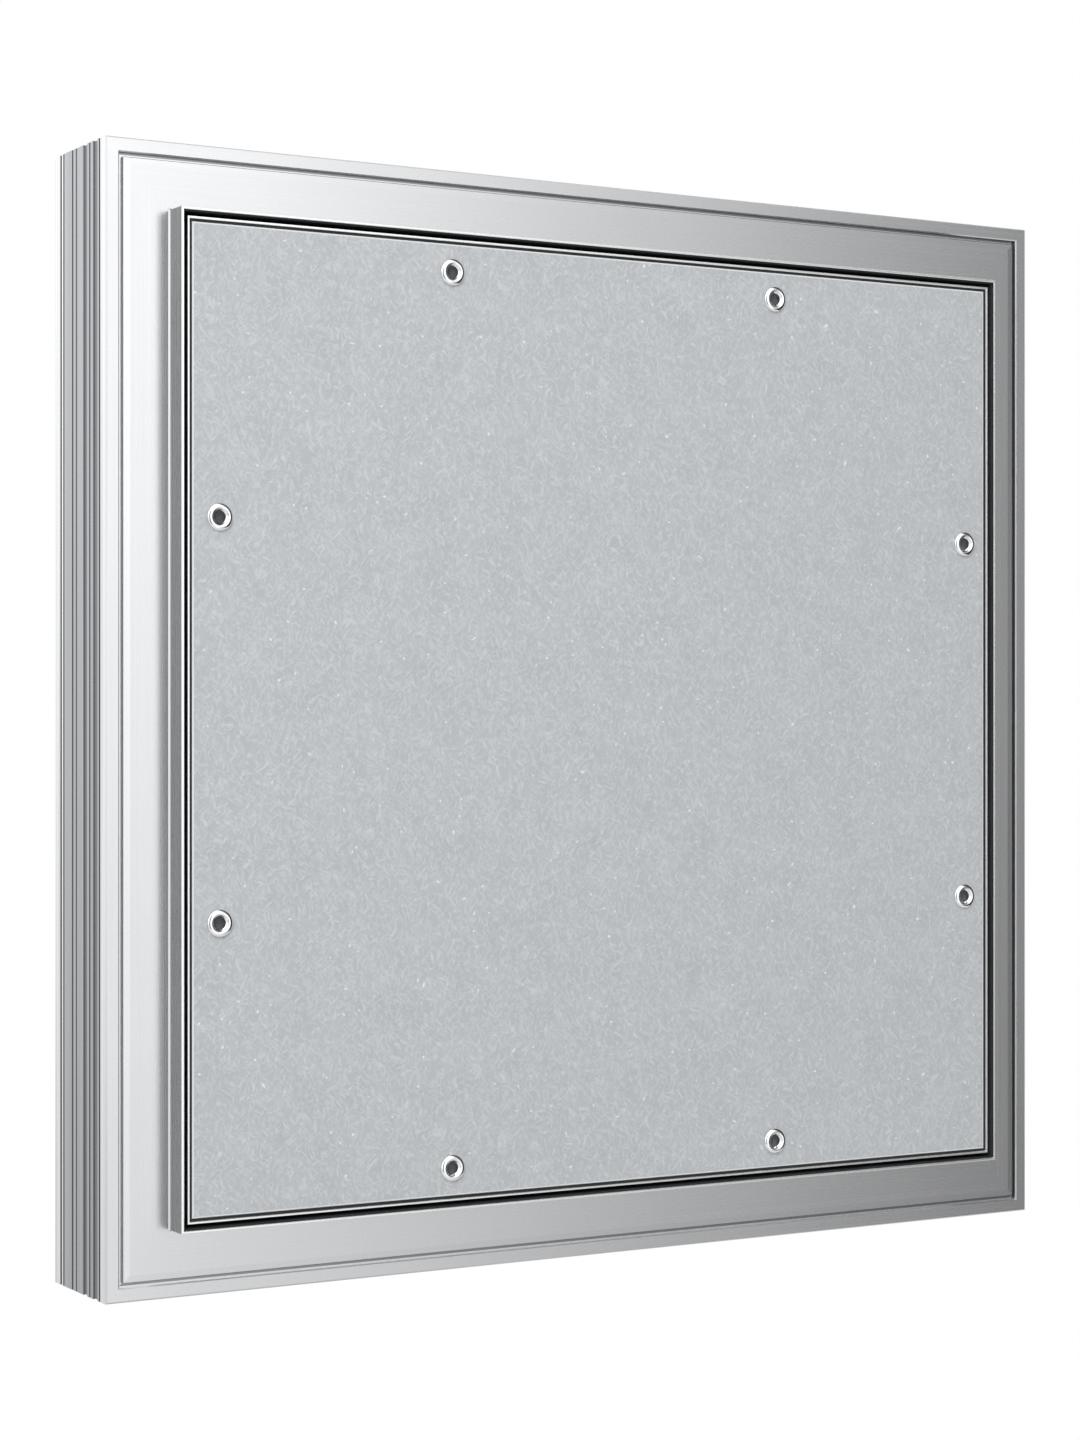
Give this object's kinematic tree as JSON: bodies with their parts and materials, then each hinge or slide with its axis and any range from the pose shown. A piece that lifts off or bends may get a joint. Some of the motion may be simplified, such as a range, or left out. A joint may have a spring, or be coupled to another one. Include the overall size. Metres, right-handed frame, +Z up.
{
  "type": "tileable access panel",
  "caption": "Square flush access panel in an aluminium frame, with a board leaf for tiling, concealed double-pivot hinges and push latches.",
  "frame": {"origin": "Centre of the frame's rear plane, which is the centre of its four fixing holes", "axes": "X to the right along the panel's width, Y into the wall, Z up"},
  "size_m": [0.4, 0.0589, 0.4],
  "materials": {
    "anodised_aluminium": "satin",
    "zinc_plated_steel": "satin",
    "stainless_steel": "polished",
    "dark_steel": "satin",
    "black_rubber": "matte",
    "fibre_board": "matte",
    "black_polyamide": "matte",
    "white_acetal": "satin",
    "spring_steel": "satin"
  },
  "bodies": {
    "frame": {"frame_left": "anodised_aluminium", "frame_right": "anodised_aluminium", "frame_top": "anodised_aluminium", "frame_bottom": "anodised_aluminium", "frame_corner_keys": "anodised_aluminium", "frame_gasket": "black_rubber", "hinge_frame_bracket_top": "zinc_plated_steel", "hinge_frame_bracket_bottom": "zinc_plated_steel", "hinge_frame_pins": "stainless_steel", "hinge_frame_screws": "zinc_plated_steel", "latch_housing_top": "black_polyamide", "latch_housing_bottom": "black_polyamide", "latch_screws": "zinc_plated_steel", "latch_spring_top": "spring_steel", "latch_spring_bottom": "spring_steel"},
    "hinge_links": {"hinge_link_top": "zinc_plated_steel", "hinge_link_bottom": "zinc_plated_steel", "hinge_frame_bushes": "white_acetal", "hinge_leaf_bushes": "white_acetal"},
    "leaf": {"leaf_left": "anodised_aluminium", "leaf_right": "anodised_aluminium", "leaf_top": "anodised_aluminium", "leaf_bottom": "anodised_aluminium", "leaf_corner_plates": "zinc_plated_steel", "leaf_corner_rivets": "stainless_steel", "leaf_board": "fibre_board", "board_bead": "black_rubber", "board_rivets": "stainless_steel", "rivet_mandrels": "dark_steel", "hinge_leaf_bracket_top": "zinc_plated_steel", "hinge_leaf_bracket_bottom": "zinc_plated_steel", "hinge_leaf_pins": "stainless_steel", "hinge_leaf_screws": "zinc_plated_steel", "latch_striker_top": "stainless_steel", "latch_striker_bottom": "stainless_steel"},
    "latch_top": {"latch_slider_top": "white_acetal"},
    "latch_bottom": {"latch_slider_bottom": "white_acetal"}
  },
  "joints": [
    {"name": "link_swing", "type": "hinge", "parent": "frame", "child": "hinge_links", "pos_m": [-0.165, -0.0394, 0], "axis": [0, 0, -1], "range_deg": [-0.5, 163]},
    {"name": "leaf_swing", "type": "hinge", "parent": "hinge_links", "child": "leaf", "pos_m": [-0.16166, -0.00758, 0], "axis": [0, 0, -1], "range_deg": [-75, 0.25]},
    {"name": "latch_push_top", "type": "slide", "parent": "frame", "child": "latch_top", "axis": [0, 1, 0], "range_m": [0, 0.003], "stiffness_N_per_m": 300, "deforming": ["latch_spring_top"]},
    {"name": "latch_push_bottom", "type": "slide", "parent": "frame", "child": "latch_bottom", "axis": [0, 1, 0], "range_m": [0, 0.003], "stiffness_N_per_m": 300, "deforming": ["latch_spring_bottom"]}
  ],
  "couplings": [
    {"joint": "leaf_swing", "follows": "link_swing", "ratio": -0.46}
  ]
}
